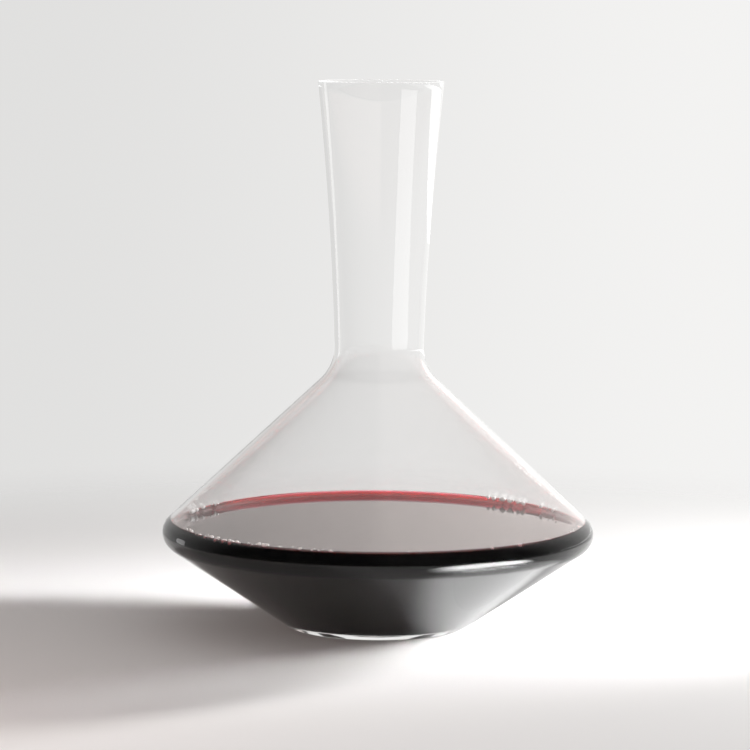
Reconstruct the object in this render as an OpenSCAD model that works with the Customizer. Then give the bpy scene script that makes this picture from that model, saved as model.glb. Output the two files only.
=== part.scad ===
// Wine decanter: one blown glass vessel with a low, wide bowl and a flaring
// neck, holding a charge of red wine.
// The glass is a solid of revolution about Z. It stands on z = 0.

/* [Bowl] */
// Widest outer diameter of the bowl
bowl_d = 206; // [190:1:220]
// Height of the widest line above the table
widest_h = 45; // [40:0.5:50]
// Outer radius of the rounded edge at the widest line
bulge_r = 8; // [6:0.5:11]
// Slope of the shoulder above the horizontal, in degrees
shoulder_angle = 43; // [39:0.5:46]

/* [Neck] */
// Height of the whole vessel, to the top of the rim
total_h = 260; // [245:1:290]
// Narrowest outer diameter of the neck
neck_d = 42.4; // [38:0.2:50]
// Outer radius of the hollow curve between shoulder and neck
hollow_r = 22; // [14:1:30]
// Outer diameter of the mouth
mouth_d = 59.6; // [54:0.2:68]
// Slope of the neck where its flare begins, in degrees from vertical
flare_angle = 1.8; // [1:0.1:2.5]

/* [Foot] */
// Outer diameter of the flat that the vessel stands on
foot_d = 84; // [76:1:92]
// Outer radius of the foot's edge
foot_edge_r = 3; // [2:0.5:5]
// Width of the flat ring under the foot
foot_ring_w = 5; // [4:0.5:8]
// Rise of the shallow hollow under the foot
kick_h = 3; // [2:0.5:5]

/* [Glass] */
// Thickness of the wall in the bowl and at the foot of the neck
wall = 2; // [1.6:0.1:2.6]
// Thickness of the wall at the rim, up to which the neck thins evenly
rim_wall = 1.2; // [1:0.1:1.6]
// Thickness of the glass above the foot
base_t = 4.5; // [3.5:0.5:7]
// Inner radius between the floor of the bowl and its wall
floor_r = 8; // [5:0.5:12]

/* [Wine] */
// Height of the wine's flat surface above the table
wine_h = 47.5; // [38:0.5:56]
// Free space between the wine and the glass
wine_gap = 0.3; // [0.2:0.05:0.5]

/* [Hidden] */
$fn = 128;
ARC_STEP = 8;     // most degrees between two points of a rounded stretch
FLARE_STEPS = 12; // straight steps up the neck
DOME_STEPS = 6;   // straight steps across the kicked-up base

neck_r = neck_d / 2;
foot_flat_r = foot_d / 2;
rim_r = rim_wall / 2;

// Centre of the rounded edge at the widest line
bulge_c = [bowl_d / 2 - bulge_r, widest_h];

// Slope of the bowl's lower wall: the common tangent of the foot's edge and the bulge
foot_to_bulge = bulge_c - [foot_flat_r, foot_edge_r];
lower_angle = atan2(foot_to_bulge.y, foot_to_bulge.x)
            - asin((bulge_r - foot_edge_r) / norm(foot_to_bulge));
lower_normal = [sin(lower_angle), -cos(lower_angle)];
lower_reach = bulge_c * lower_normal + bulge_r;

// Centre of the hollow curve under the neck, tangent to the shoulder
shoulder_normal = [sin(shoulder_angle), cos(shoulder_angle)];
shoulder_reach = bulge_c * shoulder_normal + bulge_r;
hollow_x = neck_r + hollow_r;
hollow_c = [hollow_x,
            (shoulder_reach + hollow_r - hollow_x * shoulder_normal.x) / shoulder_normal.y];

// The neck's flare: a parabola that starts tangent to the hollow curve
flare_start = hollow_c + hollow_r * [-cos(flare_angle), sin(flare_angle)];
flare_h = total_h - rim_r - flare_start.y;
flare_bend = (mouth_d / 2 - flare_start.x - tan(flare_angle) * flare_h) / pow(flare_h, 2);
function flare_slope(t) = tan(flare_angle) + 2 * flare_bend * t;
function flare_point(t, inset) =
    flare_start + [tan(flare_angle) * t + flare_bend * t * t, t]
    - inset * [1, -flare_slope(t)] / norm([1, flare_slope(t)]);

// The fire-polished rim: a half circle from one face of the wall to the other
rim_tilt = atan(flare_slope(flare_h));
rim_c = [flare_point(flare_h, rim_r).x, total_h - rim_r];

// Points on a circle from angle a to angle b
function arc(c, r, a, b) =
    let (steps = ceil(abs(b - a) / ARC_STEP))
    [for (i = [0:steps]) let (t = a + (b - a) * i / steps) c + r * [cos(t), sin(t)]];

// Points from the edge of a shallow dome to its top, on the axis
function dome(edge_r, rise, z) =
    let (r = (edge_r * edge_r + rise * rise) / (2 * rise), span = asin(edge_r / r))
    [for (i = [0:DOME_STEPS]) let (t = span * (1 - i / DOME_STEPS))
        [r * sin(t), z + rise - r + r * cos(t)]];

// Centre of the corner of radius r between a floor at height z and the lower
// wall moved in by inset
function corner(r, z, inset) =
    [(lower_reach - inset - r - lower_normal.y * (z + r)) / lower_normal.x, z + r];

// The bowl's outline moved in by inset, from its corner with a floor at height z
// up to the shoulder
function bowl_line(inset, corner_r, z) = concat(
    arc(corner(corner_r, z, inset), corner_r, -90, lower_angle - 90),
    arc(bulge_c, bulge_r - inset, lower_angle - 90, 90 - shoulder_angle));

// The neck's outline from the shoulder up to the rim, moved in by inset at the
// foot of the flare and by rim_inset at the rim
function neck_line(inset, rim_inset) = concat(
    arc(hollow_c, hollow_r + inset, 270 - shoulder_angle, 180 - flare_angle),
    [for (i = [1:FLARE_STEPS - 1]) let (k = i / FLARE_STEPS)
        flare_point(flare_h * k, inset + (rim_inset - inset) * k)]);

function reversed(list) = [for (i = [len(list) - 1:-1:0]) list[i]];

module glass_vessel() {
    outer = concat(bowl_line(0, foot_edge_r, 0), neck_line(0, 0));
    rim = arc(rim_c, rim_r, -rim_tilt, 180 - rim_tilt);
    inner = concat(bowl_line(wall, floor_r, base_t), neck_line(wall, rim_wall));
    floor_dome = dome(inner[0].x, kick_h, base_t);
    kick_dome = dome(foot_flat_r - foot_ring_w, kick_h, 0);
    color([0.93, 0.95, 0.96, 0.35]) rotate_extrude()
        polygon(concat(outer, rim, reversed(inner), floor_dome, reversed(kick_dome)));
}

module red_wine() {
    outline = bowl_line(wall + wine_gap, floor_r, base_t + wine_gap);
    floor_dome = dome(outline[0].x, kick_h, base_t + wine_gap);
    shoulder_top = outline[len(outline) - 1];
    above = shoulder_top + 60 * [-cos(shoulder_angle), sin(shoulder_angle)];
    color([0.25, 0.02, 0.05]) rotate_extrude()
        intersection() {
            polygon(concat(outline, [above, [0, above.y]], reversed(floor_dome)));
            square([bowl_d / 2, wine_h]);
        }
}

glass_vessel();
red_wine();
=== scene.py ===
import random
from math import asin, atan, atan2, ceil, cos, log, pi, radians, sin, tan

import bmesh
import bpy
from mathutils import Matrix, Vector


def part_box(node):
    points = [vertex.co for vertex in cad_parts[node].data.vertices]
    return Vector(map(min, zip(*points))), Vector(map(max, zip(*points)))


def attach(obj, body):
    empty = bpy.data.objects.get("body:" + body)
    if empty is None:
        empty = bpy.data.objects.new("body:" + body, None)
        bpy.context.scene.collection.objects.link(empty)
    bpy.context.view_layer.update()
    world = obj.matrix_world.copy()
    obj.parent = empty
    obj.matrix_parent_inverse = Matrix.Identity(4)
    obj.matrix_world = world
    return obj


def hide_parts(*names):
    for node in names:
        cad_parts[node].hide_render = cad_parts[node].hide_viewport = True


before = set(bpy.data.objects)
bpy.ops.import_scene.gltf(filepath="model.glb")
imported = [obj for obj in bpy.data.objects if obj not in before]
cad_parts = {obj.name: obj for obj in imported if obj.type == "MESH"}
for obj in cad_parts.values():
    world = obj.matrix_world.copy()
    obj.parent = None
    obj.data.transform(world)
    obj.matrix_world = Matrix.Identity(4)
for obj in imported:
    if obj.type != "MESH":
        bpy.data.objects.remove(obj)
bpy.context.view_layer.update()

# ---------------------------------------------------------------- driving dimensions, metres
GLASS_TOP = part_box("glass_vessel")[1]
WINE_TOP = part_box("red_wine")[1]

WIDEST_R = GLASS_TOP.x
TOTAL_H = GLASS_TOP.z
WIDEST_H = 0.045
BULGE_R = 0.008
SHOULDER = radians(43)

NECK_R = 0.0212
HOLLOW_R = 0.022
MOUTH_R = 0.0298
FLARE = radians(1.8)

FOOT_FLAT_R = 0.042
FOOT_EDGE_R = 0.003
FOOT_RING_W = 0.005
KICK_H = 0.003

WALL = 0.002
RIM_WALL = 0.0012
BASE_T = 0.0045
FLOOR_R = 0.008

WINE_H = WINE_TOP.z
CAPILLARY = 0.0019        # capillary length of wine
CONTACT = radians(35)     # angle at which the wine meets the glass
FILM = 0.00003            # space between two meshes that touch, too thin to see
GLASS_IOR = 1.5
WINE_IOR = 1.34
FOAM_IOR = 1.33
NO_BEND = 1.001           # refractive index of a surface that light passes straight through
WINE_DENSITY = 2200       # strength of the wine's colour, per metre

GUIDED = 12               # bounces after which light that is caught inside the glass leaves it
SEGMENTS = 256            # steps round the axis
ARC_STEP = radians(2.5)   # most turn between two points of a rounded stretch
RIM_STEP = radians(15)    # the same on the small round of the rim
DOME_STEPS = 16           # steps from the axis to the edge of a dome
FLARE_STEPS = 40          # steps up the neck
WALL_STEPS = 16           # steps along a straight stretch of wall
RING_STEPS = 6            # steps across the flat ring under the foot


# ---------------------------------------------------------------- the profile
def polar(r, a):
    return Vector((r * cos(a), r * sin(a)))


def arc(centre, r, a, b, step=ARC_STEP):
    """Points on a circle from angle a to angle b."""
    steps = ceil(abs(b - a) / step)
    return [centre + polar(r, a + (b - a) * i / steps) for i in range(steps + 1)]


def line(a, b, steps):
    """The points that split the straight stretch from a to b in steps, without its ends."""
    return [a.lerp(b, i / steps) for i in range(1, steps)]


def dome(edge_r, rise, z):
    """Points from the axis, at the top of a shallow dome, to its edge at height z."""
    r = (edge_r ** 2 + rise ** 2) / (2 * rise)
    angles = [asin(edge_r / r) * i / DOME_STEPS for i in range(DOME_STEPS + 1)]
    return [Vector((r * sin(a), z + rise - r + r * cos(a))) for a in angles]


BULGE_C = Vector((WIDEST_R - BULGE_R, WIDEST_H))
FOOT_TO_BULGE = BULGE_C - Vector((FOOT_FLAT_R, FOOT_EDGE_R))
LOWER = atan2(FOOT_TO_BULGE.y, FOOT_TO_BULGE.x) - asin((BULGE_R - FOOT_EDGE_R) / FOOT_TO_BULGE.length)
LOWER_N = Vector((sin(LOWER), -cos(LOWER)))
LOWER_REACH = BULGE_C.dot(LOWER_N) + BULGE_R
SHOULDER_N = Vector((sin(SHOULDER), cos(SHOULDER)))
SHOULDER_REACH = BULGE_C.dot(SHOULDER_N) + BULGE_R
HOLLOW_X = NECK_R + HOLLOW_R
HOLLOW_C = Vector((HOLLOW_X, (SHOULDER_REACH + HOLLOW_R - HOLLOW_X * SHOULDER_N.x) / SHOULDER_N.y))

FLARE_START = HOLLOW_C + HOLLOW_R * Vector((-cos(FLARE), sin(FLARE)))
FLARE_H = TOTAL_H - RIM_WALL / 2 - FLARE_START.y
FLARE_BEND = (MOUTH_R - FLARE_START.x - tan(FLARE) * FLARE_H) / FLARE_H ** 2


def flare_slope(t):
    return tan(FLARE) + 2 * FLARE_BEND * t


def flare_point(t, inset):
    """A point of the neck at height t above the start of its flare, moved in by inset."""
    on_surface = FLARE_START + Vector((tan(FLARE) * t + FLARE_BEND * t * t, t))
    return on_surface - inset * Vector((1, -flare_slope(t))).normalized()


def corner(r, z, inset):
    """Centre of the corner of radius r between a floor at height z and the wall moved in by inset."""
    return Vector(((LOWER_REACH - inset - r - LOWER_N.y * (z + r)) / LOWER_N.x, z + r))


def bowl_line(inset, corner_r, z):
    """The bowl's outline moved in by inset, from its corner with a floor at height z to the shoulder."""
    low = arc(corner(corner_r, z, inset), corner_r, -pi / 2, LOWER - pi / 2)
    bulge = arc(BULGE_C, BULGE_R - inset, LOWER - pi / 2, pi / 2 - SHOULDER)
    return low + line(low[-1], bulge[0], WALL_STEPS) + bulge


def neck_line(inset, rim_inset):
    """The neck moved in by inset where it leaves the shoulder, and by rim_inset just below the rim."""
    hollow = arc(HOLLOW_C, HOLLOW_R + inset, 1.5 * pi - SHOULDER, pi - FLARE)
    flare = [flare_point(FLARE_H * i / FLARE_STEPS, inset + (rim_inset - inset) * i / FLARE_STEPS)
             for i in range(1, FLARE_STEPS)]
    return hollow + flare


MENISCUS_SLOPE = pi - SHOULDER - CONTACT   # slope of the wine's surface at the glass
MENISCUS_STEPS = 40
ALMOST_FLAT = radians(0.4)                 # slope at which the climb is no longer followed
LEVEL_RUN = 0.002                          # stretch from there to where the surface is level
LEVEL_STEPS = 10                           # steps across the level surface
CONTACT_H = WINE_H + 2 * CAPILLARY * sin(MENISCUS_SLOPE / 2)


def contact_point(inset):
    """Where the wine's edge meets the shoulder moved in by inset."""
    return Vector(((SHOULDER_REACH - inset - SHOULDER_N.y * CONTACT_H) / SHOULDER_N.x, CONTACT_H))


def glass_outline():
    """The section of the glass, from the axis under the foot round to the axis on the floor.

    It comes in two stretches: the dry one, and the one that the wine wets.
    """
    kick = dome(FOOT_FLAT_R - FOOT_RING_W, KICK_H, 0)
    outer = bowl_line(0, FOOT_EDGE_R, 0)
    neck = neck_line(0, 0)
    tilt = atan(flare_slope(FLARE_H))
    rim_c = Vector((flare_point(FLARE_H, RIM_WALL / 2).x, TOTAL_H - RIM_WALL / 2))
    rim = arc(rim_c, RIM_WALL / 2, -tilt, pi - tilt, RIM_STEP)
    inner_neck = neck_line(WALL, RIM_WALL)
    edge = contact_point(WALL)
    bowl = bowl_line(WALL, FLOOR_R, BASE_T)
    floor = dome(bowl[0].x, KICK_H, BASE_T)
    dry = kick + line(kick[-1], outer[0], RING_STEPS) + outer
    dry += line(outer[-1], neck[0], WALL_STEPS) + neck + rim
    dry += inner_neck[::-1] + line(inner_neck[0], edge, WALL_STEPS) + [edge]
    return dry, bowl[::-1] + floor[::-1][1:]


def meniscus(inset, depth):
    """The wine's free surface from the wall to the axis, lowered by depth.

    It climbs the wall by capillarity, and is followed from its edge to where it is almost flat.
    """
    def reach(slope):
        return log(tan(slope / 4)) + 2 * cos(slope / 2)

    edge = contact_point(WALL + FILM)
    points = []
    for i in range(MENISCUS_STEPS + 1):
        slope = MENISCUS_SLOPE + (ALMOST_FLAT - MENISCUS_SLOPE) * i / MENISCUS_STEPS
        inward = CAPILLARY * (reach(MENISCUS_SLOPE) - reach(slope))
        on_surface = Vector((edge.x - inward, WINE_H + 2 * CAPILLARY * sin(slope / 2)))
        point = on_surface + depth * Vector((sin(slope), -cos(slope)))
        if point.dot(SHOULDER_N) < SHOULDER_REACH - inset + FILM / 10:
            points.append(point)
    centre = Vector((0, WINE_H - depth))
    level = Vector((points[-1].x - LEVEL_RUN, WINE_H - depth))
    return points + [level] + line(level, centre, LEVEL_STEPS) + [centre]


def wine_outline(layers):
    """The section of the wine from the axis, in two stretches: on the glass, and the free surface.

    It lies layers films inside the glass, and one film less under the free surface.
    """
    inset = WALL + layers * FILM
    wall = bowl_line(inset, FLOOR_R, BASE_T + layers * FILM)
    floor = dome(wall[0].x, KICK_H, BASE_T + layers * FILM)
    surface = meniscus(inset, (layers - 1) * FILM)
    return floor[:-1] + wall + surface[:1], surface[1:]


# ---------------------------------------------------------------- meshes
def add_object(name, data):
    """A new object in the scene."""
    thing = bpy.data.objects.new(name, data)
    bpy.context.scene.collection.objects.link(thing)
    return thing


def revolve(name, stretches, materials):
    """A closed body of revolution about Z, with one material for each stretch of its outline.

    The outline starts and ends on the axis.
    """
    outline = [p for stretch in stretches for p in stretch]
    slot = [i for i, stretch in enumerate(stretches) for _ in stretch]
    rings = outline[1:-1]
    angles = [2 * pi * i / SEGMENTS for i in range(SEGMENTS)]
    verts = [(p.x * cos(a), p.x * sin(a), p.y) for p in rings for a in angles]
    first, last = len(verts), len(verts) + 1
    verts += [(0, 0, outline[0].y), (0, 0, outline[-1].y)]
    top = (len(rings) - 1) * SEGMENTS
    faces, slots = [], []
    for turn in range(SEGMENTS):
        after = (turn + 1) % SEGMENTS
        faces += [(first, after, turn), (last, top + turn, top + after)]
        slots += [slot[1], slot[-1]]
        for i in range(len(rings) - 1):
            here, beyond = i * SEGMENTS, (i + 1) * SEGMENTS
            faces.append((here + turn, here + after, beyond + after, beyond + turn))
            slots.append(slot[i + 2])
    mesh = bpy.data.meshes.new(name)
    mesh.from_pydata(verts, [], faces)
    mesh.polygons.foreach_set("use_smooth", [True] * len(faces))
    for material in materials:
        mesh.materials.append(material)
    mesh.polygons.foreach_set("material_index", slots)
    mesh.validate()
    return add_object(name, mesh)


# ---------------------------------------------------------------- materials
def new_material(name):
    """An empty material, its nodes and its links."""
    material = bpy.data.materials.new(name)
    material.use_nodes = True
    material.node_tree.nodes.clear()
    return material, material.node_tree.nodes, material.node_tree.links


def noise_bump(nodes, links, scale, strength, distance, stretch):
    """A soft unevenness of the surface, in the piece's own coordinates."""
    place = nodes.new("ShaderNodeTexCoord")
    mapping = nodes.new("ShaderNodeMapping")
    mapping.inputs["Scale"].default_value = stretch
    noise = nodes.new("ShaderNodeTexNoise")
    noise.inputs["Scale"].default_value = scale
    noise.inputs["Detail"].default_value = 1.0
    bump = nodes.new("ShaderNodeBump")
    bump.inputs["Strength"].default_value = strength
    bump.inputs["Distance"].default_value = distance
    links.new(place.outputs["Object"], mapping.inputs["Vector"])
    links.new(mapping.outputs["Vector"], noise.inputs["Vector"])
    links.new(noise.outputs["Fac"], bump.inputs["Height"])
    return bump


def clear_body(name, ior, tint):
    """A clear shader of one refractive index, and the node tree that it stands in."""
    material, nodes, links = new_material(name)
    body = nodes.new("ShaderNodeBsdfPrincipled")
    body.inputs["Base Color"].default_value = (*tint, 1)
    body.inputs["Roughness"].default_value = 0.0
    body.inputs["IOR"].default_value = ior
    body.inputs["Transmission Weight"].default_value = 1.0
    return material, nodes, links, body


def lets_lamps_through(nodes, links, shader, tint):
    """Shadow rays pass the surface with a tint, and rays caught in the glass leave it.

    Every other ray meets the shader.
    """
    path = nodes.new("ShaderNodeLightPath")
    guided = nodes.new("ShaderNodeMath")
    guided.operation = "GREATER_THAN"
    guided.inputs[1].default_value = GUIDED
    passes = nodes.new("ShaderNodeMath")
    passes.operation = "MAXIMUM"
    clear = nodes.new("ShaderNodeBsdfTransparent")
    clear.inputs["Color"].default_value = (*tint, 1)
    mix = nodes.new("ShaderNodeMixShader")
    out = nodes.new("ShaderNodeOutputMaterial")
    links.new(path.outputs["Ray Depth"], guided.inputs[0])
    links.new(guided.outputs["Value"], passes.inputs[0])
    links.new(path.outputs["Is Shadow Ray"], passes.inputs[1])
    links.new(passes.outputs["Value"], mix.inputs["Fac"])
    links.new(shader.outputs["BSDF"], mix.inputs[1])
    links.new(clear.outputs["BSDF"], mix.inputs[2])
    links.new(mix.outputs["Shader"], out.inputs["Surface"])


def crystal(name, ior):
    """Clear glass, so slightly uneven that its reflections waver."""
    material, nodes, links, glass = clear_body(name, ior, tint=(1, 1, 1))
    bump = noise_bump(nodes, links, scale=28, strength=0.05, distance=0.0004, stretch=(1, 1, 0.35))
    links.new(bump.outputs["Normal"], glass.inputs["Normal"])
    lets_lamps_through(nodes, links, glass, tint=(0.95, 0.955, 0.955))
    return material


def wine_boundary(name, ior):
    """What the wine's surface does to light. Its colour is in the body below it, apart from a painted
    pink tint in its reflections that stands in for red light coming up out of the wine.
    """
    material, nodes, links, wine = clear_body(name, ior, tint=(1, 0.985, 0.985))
    # painted pink tint on the reflections, standing in for red light that comes up out of the wine
    wine.inputs["Specular Tint"].default_value = (1, 0.91, 0.88, 1)
    lets_lamps_through(nodes, links, wine, tint=(1, 0.98, 0.98))
    return material


def wine_red():
    """The wine's colour: light loses its green and blue within millimetres, and then its red."""
    material, nodes, links, wine = clear_body("red_wine", NO_BEND, tint=(1, 1, 1))
    out = nodes.new("ShaderNodeOutputMaterial")
    links.new(wine.outputs["BSDF"], out.inputs["Surface"])
    depth = nodes.new("ShaderNodeVolumeAbsorption")
    depth.inputs["Color"].default_value = (0.87, 0.03, 0.16, 1)
    depth.inputs["Density"].default_value = WINE_DENSITY
    links.new(depth.outputs["Volume"], out.inputs["Volume"])
    return material


# ---------------------------------------------------------------- the pieces
def make_glass():
    """The vessel. Its surface bends light less where wine wets it than where air touches it."""
    dry = crystal("clear_crystal", GLASS_IOR)
    wetted = crystal("wetted_crystal", GLASS_IOR / WINE_IOR)
    piece = revolve("decanter_glass", glass_outline(), [dry, wetted])
    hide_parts("glass_vessel")
    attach(piece, "decanter")


def make_wine():
    """The wine is two closed bodies, one film apart: the outer bends light, the inner colours it."""
    on_glass = wine_boundary("wine_on_glass", NO_BEND)
    surface = wine_boundary("wine_surface", WINE_IOR)
    bends = revolve("decanted_wine", wine_outline(1), [on_glass, surface])
    red = wine_red()
    colours = revolve("wine_colour", wine_outline(2), [red, red])
    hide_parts("red_wine")
    for piece in (bends, colours):
        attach(piece, "wine")


def foam():
    """Whitish, half clear skin of the small bubbles."""
    material, nodes, links, skin = clear_body("wine_foam", FOAM_IOR, tint=(1.0, 0.98, 0.98))
    skin.inputs["Transmission Weight"].default_value = 0.2
    skin.inputs["Roughness"].default_value = 0.06
    out = nodes.new("ShaderNodeOutputMaterial")
    links.new(skin.outputs["BSDF"], out.inputs["Surface"])
    return material


# Where bubbles gather along the glass: first and last turn from the front in degrees, their number,
# and the largest radius
BUBBLES = [
    (-66, -50, 16, 0.0009), (-50, -31, 22, 0.0013), (-29, -12, 14, 0.0007), (8, 13, 3, 0.0008),
    (30, 33, 2, 0.0009), (40, 42, 2, 0.0009), (51, 54, 3, 0.0008), (66, 80, 9, 0.0007),
    (-131, -108, 20, 0.0012), (130, 146, 22, 0.0013), (114, 126, 9, 0.0009),
]
SMALLEST = 0.35                  # smallest radius, as a share of the largest
BUBBLE_BAND = (-0.0013, 0.0003)  # how far along the shoulder from the wine's edge they sit


def make_bubbles():
    """The small bubbles that pouring leaves where the wine meets the glass."""
    random.seed(5)
    edge = contact_point(WALL + FILM)
    cluster = bmesh.new()
    for start, end, count, largest in BUBBLES:
        for _ in range(count):
            size = largest * (SMALLEST + (1 - SMALLEST) * random.random() ** 2)
            turn = radians(random.uniform(start, end))
            along = random.uniform(*BUBBLE_BAND)
            spot = edge - size * SHOULDER_N + along * Vector((SHOULDER_N.y, -SHOULDER_N.x))
            centre = Vector((spot.x * sin(turn), -spot.x * cos(turn), spot.y))
            place = Matrix.Translation(centre)
            bmesh.ops.create_icosphere(cluster, subdivisions=2, radius=size, matrix=place)
    mesh = bpy.data.meshes.new("rim_bubbles")
    cluster.to_mesh(mesh)
    cluster.free()
    mesh.polygons.foreach_set("use_smooth", [True] * len(mesh.polygons))
    mesh.materials.append(foam())
    bubbles = add_object("rim_bubbles", mesh)
    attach(bubbles, "wine")


# ---------------------------------------------------------------- stage, lights and camera
FLOOR_FULL = 0.27         # radius up to which the floor is solid
FLOOR_EDGE = 0.6          # radius at which it has faded into the studio's pale surround
FLOOR_Z = -0.0003         # the floor lies a hair under the object
CARD_Z = -0.0001          # the soft cards lie between the two
GLOW_H = 0.004            # height of the lit stretches of table
AMBIENT = 0.34            # what matt surfaces get from the studio's surround
PAINTED_GUIDED_GLOW = 1.0         # plain white seen by light caught inside the glass: a painted highlight on the rim and the foot's arcs, for light the glass really guides


def disc(name, radius, sides):
    """A flat disc of the stage."""
    mesh = bpy.data.meshes.new(name)
    angles = [2 * pi * i / sides for i in range(sides)]
    mesh.from_pydata([(radius * cos(a), radius * sin(a), 0) for a in angles], [], [range(sides)])
    return add_object(name, mesh)


def make_floor():
    """A pale floor that fades out towards its edge."""
    floor = disc("floor", FLOOR_EDGE, sides=64)
    floor.location.z = FLOOR_Z
    floor.data.materials.append(fading_floor())


def fading_floor():
    """Pale and matt round the object, and clear at the floor's edge."""
    material, nodes, links = new_material("pale_floor")
    pale = nodes.new("ShaderNodeBsdfPrincipled")
    pale.inputs["Base Color"].default_value = (0.86, 0.85, 0.845, 1)
    pale.inputs["Roughness"].default_value = 0.6
    pale.inputs["Specular IOR Level"].default_value = 0.0
    clear = nodes.new("ShaderNodeBsdfTransparent")
    fade_between(nodes, links, pale.outputs["BSDF"], clear.outputs["BSDF"], FLOOR_FULL, FLOOR_EDGE)
    return material


def fade_between(nodes, links, inner, outer, near, far):
    """The inner shader up to the radius near, and the outer one from the radius far on."""
    place = nodes.new("ShaderNodeTexCoord")
    radius = nodes.new("ShaderNodeVectorMath")
    radius.operation = "LENGTH"
    fade = nodes.new("ShaderNodeMapRange")
    fade.interpolation_type = "SMOOTHSTEP"
    fade.inputs["From Min"].default_value = near
    fade.inputs["From Max"].default_value = far
    mix = nodes.new("ShaderNodeMixShader")
    out = nodes.new("ShaderNodeOutputMaterial")
    links.new(place.outputs["Object"], radius.inputs[0])
    links.new(radius.outputs["Value"], fade.inputs["Value"])
    links.new(fade.outputs["Result"], mix.inputs["Fac"])
    links.new(inner, mix.inputs[1])
    links.new(outer, mix.inputs[2])
    links.new(mix.outputs["Shader"], out.inputs["Surface"])


def softbox(name, place, aim, size, radiance, colour=(1, 1, 1)):
    """A square-on lamp of even brightness. It never shows itself to the camera."""
    light = bpy.data.lights.new(name, "AREA")
    light.shape = "RECTANGLE"
    light.size, light.size_y = size
    light.energy = radiance * pi * size[0] * size[1]
    light.color = colour
    box = add_object(name, light)
    box.location = place
    box.rotation_mode = "QUATERNION"
    box.rotation_quaternion = (Vector(aim) - Vector(place)).to_track_quat("-Z", "Y")
    box.visible_camera = False
    return box


def even_lamp(name, place, radius, power):
    """A small lamp whose light doesn't weaken with distance, so that it lights the whole table."""
    light = bpy.data.lights.new(name, "POINT")
    light.shadow_soft_size = radius
    light.energy = power
    light.use_nodes = True
    nodes, links = light.node_tree.nodes, light.node_tree.links
    falloff = nodes.new("ShaderNodeLightFalloff")
    falloff.inputs["Strength"].default_value = 1.0
    links.new(falloff.outputs["Constant"], nodes["Emission"].inputs["Strength"])
    lamp = add_object(name, light)
    lamp.location = place
    lamp.visible_camera = False
    return lamp


def only_mirrored(card):
    """Glass mirrors the card, and nothing else sees it."""
    card.visible_camera = False
    card.visible_diffuse = False
    card.visible_transmission = False


def soft_card(name, place, turn, reach, radiance):
    """A glowing oval on the table that fades to nothing at its edge. Only mirrored rays see it."""
    card = disc(name, 1, sides=48)
    card.location = (*place, CARD_Z)
    card.rotation_euler.z = radians(turn)
    card.scale = (*reach, 1)
    card.data.materials.append(fading_glow(name, radiance))
    card.visible_shadow = False
    only_mirrored(card)


def fading_glow(name, radiance):
    """A glow that is even in the middle of its disc and fades to nothing at the edge."""
    material, nodes, links = new_material(name)
    material.cycles.emission_sampling = "NONE"
    glow = nodes.new("ShaderNodeEmission")
    glow.inputs["Strength"].default_value = radiance
    clear = nodes.new("ShaderNodeBsdfTransparent")
    fade_between(nodes, links, glow.outputs["Emission"], clear.outputs["BSDF"], near=0.6, far=1.0)
    return material


def table_glow(name, place, turn, size, radiance):
    """A lit stretch of table, turned by turn degrees from +X, that only the glass mirrors."""
    centre = Vector((*place, GLOW_H))
    card = softbox(name, centre, centre + Vector((0, 0, 1)), size, radiance)
    card.rotation_mode = "XYZ"
    card.rotation_euler = (pi, 0, radians(turn))
    only_mirrored(card)


def calculator(nodes, links):
    """The three sums from which the studio's light is worked out, as functions that add their nodes."""
    def feed(socket, value):
        if isinstance(value, (int, float)):
            socket.default_value = value
        else:
            links.new(value, socket)

    def ramp(value, low, high, at_low, at_high, kind="SMOOTHSTEP"):
        node = nodes.new("ShaderNodeMapRange")
        node.interpolation_type = kind
        node.inputs["From Min"].default_value = low
        node.inputs["From Max"].default_value = high
        node.inputs["To Min"].default_value = at_low
        node.inputs["To Max"].default_value = at_high
        links.new(value, node.inputs["Value"])
        return node.outputs["Result"]

    def combine(kind, a, b):
        node = nodes.new("ShaderNodeMath")
        node.operation = kind
        node.use_clamp = kind == "SUBTRACT"
        feed(node.inputs[0], a)
        feed(node.inputs[1], b)
        return node.outputs["Value"]

    def choose(factor, no, yes):
        node = nodes.new("ShaderNodeMix")
        links.new(factor, node.inputs["Factor"])
        feed(node.inputs["A"], no)
        feed(node.inputs["B"], yes)
        return node.outputs["Result"]

    return ramp, combine, choose


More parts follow.
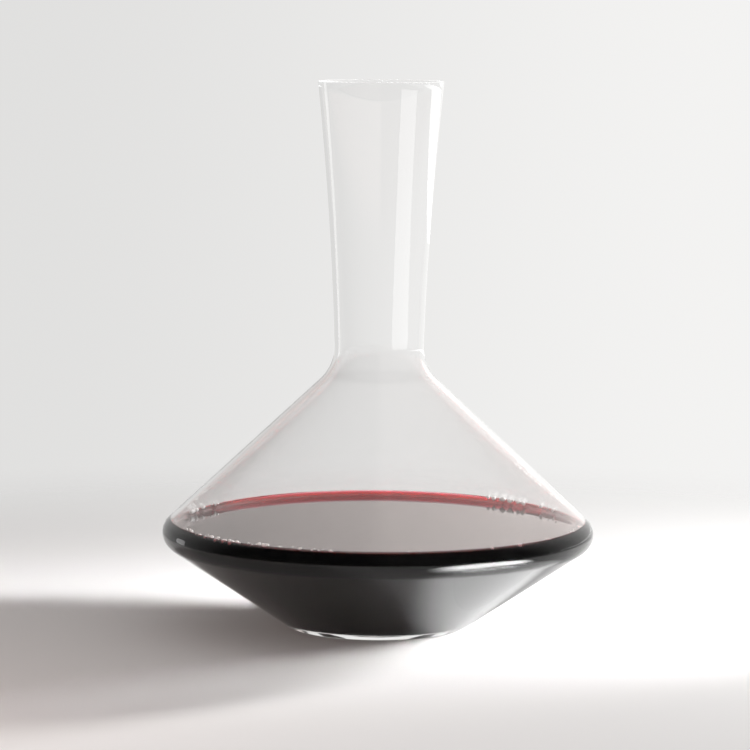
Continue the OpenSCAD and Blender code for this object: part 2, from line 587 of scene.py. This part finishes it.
def make_studio():
    """A pale surround. Glass mirrors it bright behind and above the object, and dark in front."""
    world = bpy.data.worlds.new("studio")
    world.use_nodes = True
    nodes, links = world.node_tree.nodes, world.node_tree.links
    ramp, combine, choose = calculator(nodes, links)
    sky = nodes["Background"]
    place = nodes.new("ShaderNodeTexCoord")
    axes = nodes.new("ShaderNodeSeparateXYZ")
    path = nodes.new("ShaderNodeLightPath")
    links.new(place.outputs["Generated"], axes.inputs["Vector"])
    across, back, up = axes.outputs

    # what is seen: the table below and the backdrop above, both brighter to the right
    high = ramp(up, 0.03, 0.10, 0.0, 1.0)
    table = ramp(across, -0.12, 0.12, 0.75, 0.90)
    backdrop = ramp(across, -0.06, 0.06, 0.65, 1.31, "LINEAR")
    seen = choose(high, table, backdrop)

    # what glass mirrors: bright behind it and to the right, and bright overhead
    from_back = ramp(back, 0.0, 1.0, 0.03, 1.0, "LINEAR")
    from_right = ramp(across, -0.12, 0.06, 0.62, 1.12, "LINEAR")
    behind = combine("MULTIPLY", from_back, from_right)
    overhead = ramp(combine("ADD", up, combine("MULTIPLY", back, 0.6)), 0.8, 0.95, 0.0, 0.85)
    mirrored = combine("MAXIMUM", behind, overhead)

    sees = combine("MAXIMUM", path.outputs["Is Camera Ray"], path.outputs["Is Transmission Ray"])
    mirrors = combine("SUBTRACT", path.outputs["Is Reflection Ray"], path.outputs["Is Diffuse Ray"])
    # light still caught inside the glass sees plain white: a painted highlight that brightens the rim
    # and the foot's arcs
    guided = combine("GREATER_THAN", path.outputs["Ray Depth"], GUIDED)
    direct = choose(mirrors, choose(sees, AMBIENT, seen), mirrored)
    links.new(choose(guided, direct, PAINTED_GUIDED_GLOW), sky.inputs["Strength"])

    tone = nodes.new("ShaderNodeMix")
    tone.data_type = "RGBA"
    tone.inputs["A"].default_value = (1.0, 0.995, 0.985, 1)
    tone.inputs["B"].default_value = (1.0, 0.905, 0.875, 1)
    links.new(combine("MULTIPLY", high, sees), tone.inputs["Factor"])
    links.new(tone.outputs["Result"], sky.inputs["Color"])
    bpy.context.scene.world = world


def make_lights():
    """A low key lamp from the right, a warm fill from the left, and cards that only glass mirrors."""
    key = even_lamp("key", (0.324, 0.158, 0.13), radius=0.03, power=66)
    low = softbox("low_key", (0.42, 0.14, 0.12), aim=(0.11, 0.06, 0), size=(0.2, 0.08), radiance=14)
    low.data.spread = radians(45)
    fill = softbox("fill", (-0.5, -0.4, 0.14), aim=(-0.08, -0.03, 0), size=(0.5, 0.2), radiance=4.5,
                   colour=(1, 0.78, 0.72))
    for lamp in (key, low, fill):
        lamp.visible_glossy = False
        lamp.visible_transmission = False
    soft_card("bulge_glow", (0.185, -0.155), turn=-19, reach=(0.15, 0.09), radiance=21)
    soft_card("cone_glow", (0.085, -0.055), turn=0, reach=(0.072, 0.072), radiance=2.4)
    table_glow("front_glow", (0.81, -0.555), turn=-34.5, size=(0.55, 0.69), radiance=2.2)
    table_glow("back_glow", (1.84, 1.29), turn=35, size=(1.2, 3.0), radiance=2.5)
    strip = softbox("left_strip", (-1.15, 0.8, -0.02), aim=(0, 0, 0.15), size=(0.25, 0.5), radiance=1.2)
    only_mirrored(strip)


EYE = (-0.0019, -1.5934, 0.2943)   # where the camera stands
LOOKS_DOWN = radians(6.23)         # its tilt below the horizontal
ROLL = radians(0.42)
SENSOR = 36                        # width of its sensor, millimetres
LENS = 161.4336                    # its focal length, millimetres


def make_camera():
    """The camera, at the photograph's viewing angle."""
    camera = bpy.data.cameras.new("camera")
    camera.sensor_width = SENSOR
    camera.lens = LENS
    eye = add_object("camera", camera)
    eye.matrix_world = (Matrix.Translation(EYE)
                        @ Matrix.Rotation(pi / 2 - LOOKS_DOWN, 4, "X")
                        @ Matrix.Rotation(ROLL, 4, "Z"))
    bpy.context.scene.camera = eye


def set_ray_depth():
    """Light runs a long way inside the thick foot, so its rays may bounce more often than usual."""
    cycles = bpy.context.scene.cycles
    cycles.max_bounces = 32
    cycles.glossy_bounces = 24
    cycles.transmission_bounces = 24


make_camera()
make_glass()
make_wine()
make_bubbles()
make_floor()
make_studio()
make_lights()
set_ray_depth()
bpy.context.scene.view_settings.view_transform = "Standard"
